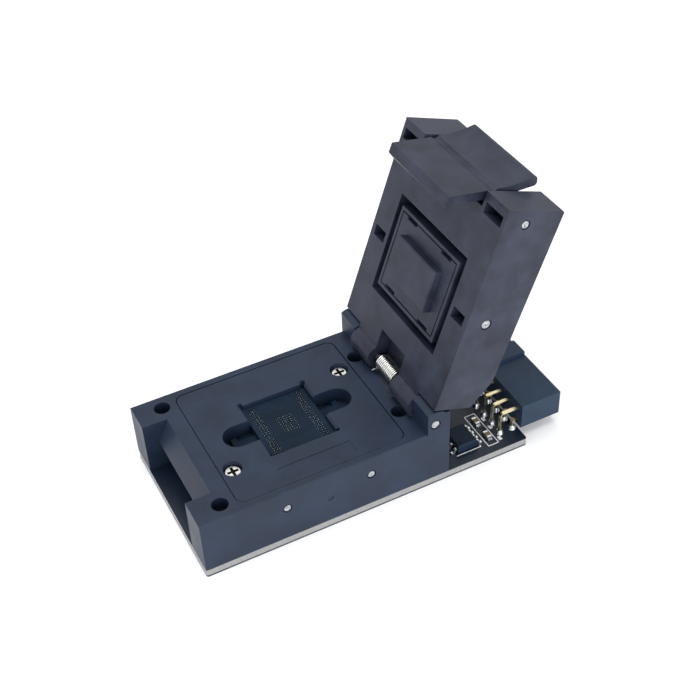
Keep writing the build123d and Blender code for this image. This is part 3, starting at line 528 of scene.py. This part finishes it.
core = add(tree, "ShaderNodeValToRGB", {}, {"Fac": glass.outputs["Fac"]})
core.color_ramp.elements[0].color = linear("#6c6c6e")
core.color_ramp.elements[1].color = linear("#a0a09e")
cloud = add(tree, "ShaderNodeTexNoise", {"Scale": mask_clouds_per_metre, "Detail": 3.0}, {
    "Vector": place,
})
mask = add(tree, "ShaderNodeValToRGB", {}, {"Fac": cloud.outputs["Fac"]})
mask.color_ramp.elements[0].color = linear("#0c1724")
mask.color_ramp.elements[1].color = linear("#121f31")
surface = add(tree, "ShaderNodeMix", {"data_type": "RGBA"}, {
    0: is_core,
    6: mask.outputs["Color"],
    7: core.outputs["Color"],
})
tree.links.new(surface.outputs[2], shader.inputs["Base Color"])
shader.inputs["Roughness"].default_value = 0.35
shader.inputs["Specular IOR Level"].default_value = 0.35
dress("circuit_board", board_material)

# Silkscreen: white ink lines on the board around the small parts, with plain filled marks where
# a maker would print letters. The ink is matt, and it stands a hair above the mask.
ink_grain_mm = 0.25  # coarser than the real screen's mesh, so that it shows
white_ink = bpy.data.materials.new("screen_printed_ink")
white_ink.use_nodes = True
tree = white_ink.node_tree
shader = tree.nodes["Principled BSDF"]
place = add(tree, "ShaderNodeTexCoord").outputs["Object"]
cover = add(tree, "ShaderNodeTexNoise", {"Scale": 1000.0 / ink_grain_mm, "Detail": 2.0}, {
    "Vector": place,
})
ink_tone = add(tree, "ShaderNodeValToRGB", {}, {"Fac": cover.outputs["Fac"]})
ink_tone.color_ramp.elements[0].color = linear("#d4d8dd")
ink_tone.color_ramp.elements[1].color = linear("#f6f8f9")
tree.links.new(ink_tone.outputs["Color"], shader.inputs["Base Color"])
shader.inputs["Roughness"].default_value = 0.6

board_low, board_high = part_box("circuit_board")
ink_height = 0.00003

# Places of the printing in millimetres from the board's front and near edges: half a line's
# width, the boxes round the capacitors, the chip's two lines, and half a filled mark's size.
half_line = 0.08
box_x = (53.2, 55.2)
boxes_y = ((1.55, 5.6), (5.6, 9.6))
chip_line_x = (47.2, 52.0)
chip_lines_y = (2.15, 7.75)
corner_tick_y = (2.15, 2.55)
mark_half = (0.3, 0.45)
mark_x = 55.9
marks_y = (2.3, 5.4, 7.6)


def ink_bar(x0, x1, y0, y1):
    """One printed bar, its corners in millimetres from the board's front and near edges."""
    bpy.ops.object.select_all(action="DESELECT")
    middle = (
        board_low[0] + (x0 + x1) / 2000,
        board_low[1] + (y0 + y1) / 2000,
        board_high[2] + ink_height / 2,
    )
    bpy.ops.mesh.primitive_cube_add(size=1.0, location=middle)
    bar = bpy.context.active_object
    bar.scale = ((x1 - x0) / 1000, (y1 - y0) / 1000, ink_height)
    bpy.ops.object.transform_apply(location=True, rotation=True, scale=True)
    bevel = bar.modifiers.new("soft_rim", "BEVEL")
    bevel.width = ink_height / 3
    bpy.ops.object.modifier_apply(modifier=bevel.name)
    return bar


bars = []
for y0, y1 in boxes_y:
    for x in box_x:
        bars.append(ink_bar(x - half_line, x + half_line, y0, y1))
    for y in (y0, y1):
        bars.append(ink_bar(*box_x, y - half_line, y + half_line))
for y in chip_lines_y:
    bars.append(ink_bar(*chip_line_x, y - half_line, y + half_line))
bars.append(ink_bar(chip_line_x[1] - half_line, chip_line_x[1] + half_line, *corner_tick_y))
for y in marks_y:
    bars.append(ink_bar(
        mark_x - mark_half[0], mark_x + mark_half[0], y - mark_half[1], y + mark_half[1]
    ))
bpy.ops.object.select_all(action="DESELECT")
for bar in bars:
    bar.select_set(True)
bpy.context.view_layer.objects.active = bars[0]
bpy.ops.object.join()
printing = bpy.context.active_object
printing.name = "board_printing"
printing.data.materials.append(white_ink)
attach(printing, "base")
